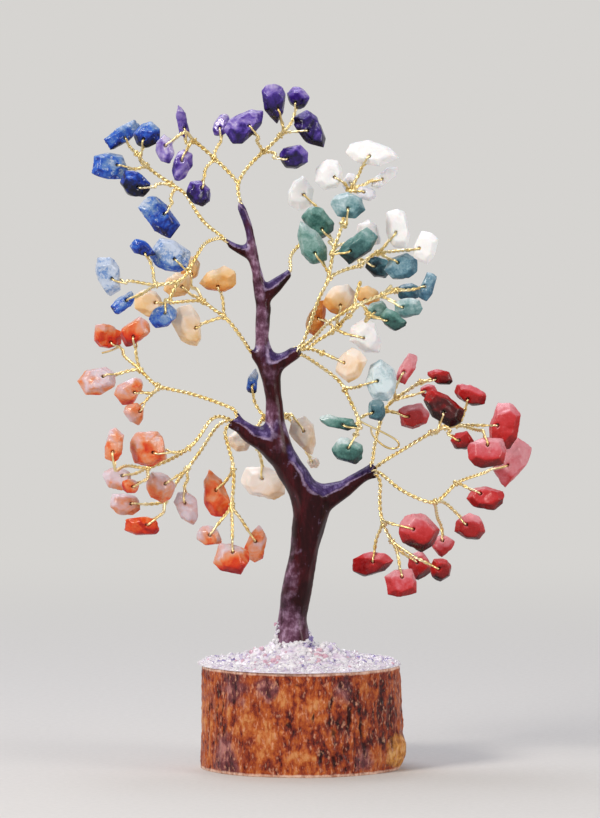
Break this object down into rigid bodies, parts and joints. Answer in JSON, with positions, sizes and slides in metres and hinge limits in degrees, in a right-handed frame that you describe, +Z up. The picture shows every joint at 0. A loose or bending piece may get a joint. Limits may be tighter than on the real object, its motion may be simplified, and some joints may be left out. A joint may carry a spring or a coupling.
{
  "type": "gemstone tree ornament",
  "caption": "Small ornamental tree of drilled stone chips on twisted brass wire branches, with a moulded clay trunk on a slice of log crusted with crushed stone.",
  "frame": {"origin": "centre of the log slice's underside", "axes": "+Z up the tree, -Y out of its display face, +X to the right as seen from the front"},
  "size_m": [0.1137, 0.051, 0.1721],
  "materials": {
    "amethyst_stone": "tumbled",
    "bark": "varnished bark",
    "brass_wire": "drawn and twisted wire",
    "carnelian_stone": "tumbled",
    "cream_stone": "tumbled",
    "crushed_stone": "crushed crystal in clear resin",
    "green_stone": "tumbled",
    "jasper_stone": "tumbled",
    "lapis_stone": "tumbled",
    "log_wood": "sawn",
    "moulded_clay": "varnished polymer clay",
    "quartz_stone": "tumbled, clear to milky"
  },
  "bodies": {
    "root": {"bark_band": "bark", "carnelian_hanging_carnelian_chips": "carnelian_stone", "carnelian_hanging_wire": "brass_wire", "carnelian_left_carnelian_chips": "carnelian_stone", "carnelian_left_wire": "brass_wire", "carnelian_lower_carnelian_chips": "carnelian_stone", "carnelian_lower_wire": "brass_wire", "carnelian_upper_carnelian_chips": "carnelian_stone", "carnelian_upper_wire": "brass_wire", "core_bundle": "brass_wire", "cream_centre_cream_chips": "cream_stone", "cream_centre_quartz_chips": "quartz_stone", "cream_centre_wire": "brass_wire", "cream_left_cream_chips": "cream_stone", "cream_left_wire": "brass_wire", "crest_amethyst_chips": "amethyst_stone", "crest_wire": "brass_wire", "green_lower_green_chips": "green_stone", "green_lower_wire": "brass_wire", "green_upper_green_chips": "green_stone", "green_upper_quartz_chips": "quartz_stone", "green_upper_wire": "brass_wire", "jasper_bottom_jasper_chips": "jasper_stone", "jasper_bottom_wire": "brass_wire", "jasper_lower_jasper_chips": "jasper_stone", "jasper_lower_wire": "brass_wire", "jasper_right_jasper_chips": "jasper_stone", "jasper_right_wire": "brass_wire", "jasper_upper_jasper_chips": "jasper_stone", "jasper_upper_wire": "brass_wire", "lapis_lapis_chips": "lapis_stone", "lapis_wire": "brass_wire", "log_slice": "log_wood", "quartz_rear_quartz_chips": "quartz_stone", "quartz_rear_wire": "brass_wire", "rear_left_cream_chips": "cream_stone", "rear_left_lapis_chips": "lapis_stone", "rear_left_wire": "brass_wire", "rear_right_cream_chips": "cream_stone", "rear_right_wire": "brass_wire", "stone_crust": "crushed_stone", "teal_green_chips": "green_stone", "teal_wire": "brass_wire", "trunk_clay": "moulded_clay"}
  },
  "joints": []
}
